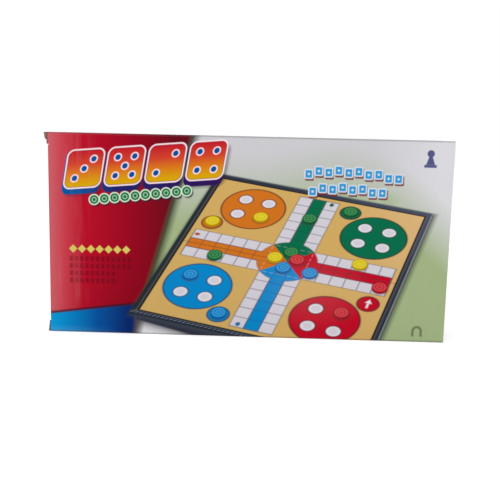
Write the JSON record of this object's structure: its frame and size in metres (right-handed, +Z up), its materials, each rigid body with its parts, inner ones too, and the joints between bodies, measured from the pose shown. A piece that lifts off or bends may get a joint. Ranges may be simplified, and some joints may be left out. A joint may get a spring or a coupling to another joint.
{
  "type": "folding ludo board box",
  "caption": "Printed reverse-tuck carton, standing on its long edge, with a folded magnetic ludo case, steel play plates, tokens, a die and a tray inside; its lids, tongues and dust flaps fold.",
  "frame": {"origin": "middle of the carton on the surface it stands on, to within the small stand of the left end creases", "axes": "+X along the carton to the right of its printed front, +Y through the carton to its back, +Z up"},
  "size_m": [0.2623, 0.037, 0.131],
  "materials": {
    "printed_board": "fluted board with a varnished print",
    "board_lining": "uncoated grey-brown board",
    "case_plastic": "moulded, fine texture",
    "clasp_plastic": "moulded",
    "steel": "bright, cut edges",
    "play_print": "printed film, semi-gloss",
    "magnet": "magnetic rubber sheet, cut edges",
    "red_plastic": "moulded",
    "yellow_plastic": "moulded",
    "green_plastic": "moulded",
    "blue_plastic": "moulded",
    "tray_plastic": "thin moulded sheet",
    "die_plastic": "polished, with painted spots"
  },
  "bodies": {
    "carton": {"blue_token_1": "blue_plastic", "blue_token_2": "blue_plastic", "blue_token_3": "blue_plastic", "blue_token_4": "blue_plastic", "blue_token_magnets": "magnet", "carton_sleeve": "printed_board", "case_clasp": "clasp_plastic", "case_half_back": "case_plastic", "case_half_front": "case_plastic", "die": "die_plastic", "green_token_1": "green_plastic", "green_token_2": "green_plastic", "green_token_3": "green_plastic", "green_token_4": "green_plastic", "green_token_magnets": "magnet", "hinge_pin_left": "steel", "hinge_pin_right": "steel", "play_sheet_back": "play_print", "play_sheet_front": "play_print", "red_token_1": "red_plastic", "red_token_2": "red_plastic", "red_token_3": "red_plastic", "red_token_4": "red_plastic", "red_token_magnets": "magnet", "steel_plate_back": "steel", "steel_plate_front": "steel", "storage_tray": "tray_plastic", "yellow_token_1": "yellow_plastic", "yellow_token_2": "yellow_plastic", "yellow_token_3": "yellow_plastic", "yellow_token_4": "yellow_plastic", "yellow_token_magnets": "magnet"},
    "left_lid": {"left_lid": "printed_board"},
    "left_tongue": {"left_tongue": "board_lining"},
    "left_dust_flap_top": {"left_dust_flap_top": "board_lining"},
    "left_dust_flap_bottom": {"left_dust_flap_bottom": "board_lining"},
    "right_lid": {"right_lid": "printed_board"},
    "right_tongue": {"right_tongue": "board_lining"},
    "right_dust_flap_top": {"right_dust_flap_top": "board_lining"},
    "right_dust_flap_bottom": {"right_dust_flap_bottom": "board_lining"}
  },
  "joints": [
    {"name": "left_lid_crease", "type": "hinge", "parent": "carton", "child": "left_lid", "pos_m": [-0.12865, -0.01775, 0.0655], "axis": [0, 0, 1], "range_deg": [0, 180]},
    {"name": "left_tongue_crease", "type": "hinge", "parent": "left_lid", "child": "left_tongue", "pos_m": [-0.12865, 0.01595, 0.0655], "axis": [0, 0, 1], "range_deg": [0, 45]},
    {"name": "left_dust_flap_top_crease", "type": "hinge", "parent": "carton", "child": "left_dust_flap_top", "pos_m": [-0.13155, 0, 0.13025], "axis": [0, 1, 0], "range_deg": [0, 90]},
    {"name": "left_dust_flap_bottom_crease", "type": "hinge", "parent": "carton", "child": "left_dust_flap_bottom", "pos_m": [-0.13055, 0, 0.00075], "axis": [0, -1, 0], "range_deg": [0, 90]},
    {"name": "right_lid_crease", "type": "hinge", "parent": "carton", "child": "right_lid", "pos_m": [0.12865, 0.01775, 0.0655], "axis": [0, 0, 1], "range_deg": [0, 180]},
    {"name": "right_tongue_crease", "type": "hinge", "parent": "right_lid", "child": "right_tongue", "pos_m": [0.12865, -0.01595, 0.0655], "axis": [0, 0, 1], "range_deg": [0, 45]},
    {"name": "right_dust_flap_top_crease", "type": "hinge", "parent": "carton", "child": "right_dust_flap_top", "pos_m": [0.12685, 0, 0.13025], "axis": [0, -1, 0], "range_deg": [0, 90]},
    {"name": "right_dust_flap_bottom_crease", "type": "hinge", "parent": "carton", "child": "right_dust_flap_bottom", "pos_m": [0.12685, 0, 0.00075], "axis": [0, 1, 0], "range_deg": [0, 90]}
  ],
  "couplings": [
    {"joint": "left_tongue_crease", "follows": "left_lid_crease", "ratio": 0.25},
    {"joint": "left_dust_flap_top_crease", "follows": "left_lid_crease", "ratio": 0.5},
    {"joint": "left_dust_flap_bottom_crease", "follows": "left_lid_crease", "ratio": 0.5},
    {"joint": "right_tongue_crease", "follows": "right_lid_crease", "ratio": 0.25},
    {"joint": "right_dust_flap_top_crease", "follows": "right_lid_crease", "ratio": 0.5},
    {"joint": "right_dust_flap_bottom_crease", "follows": "right_lid_crease", "ratio": 0.5}
  ]
}
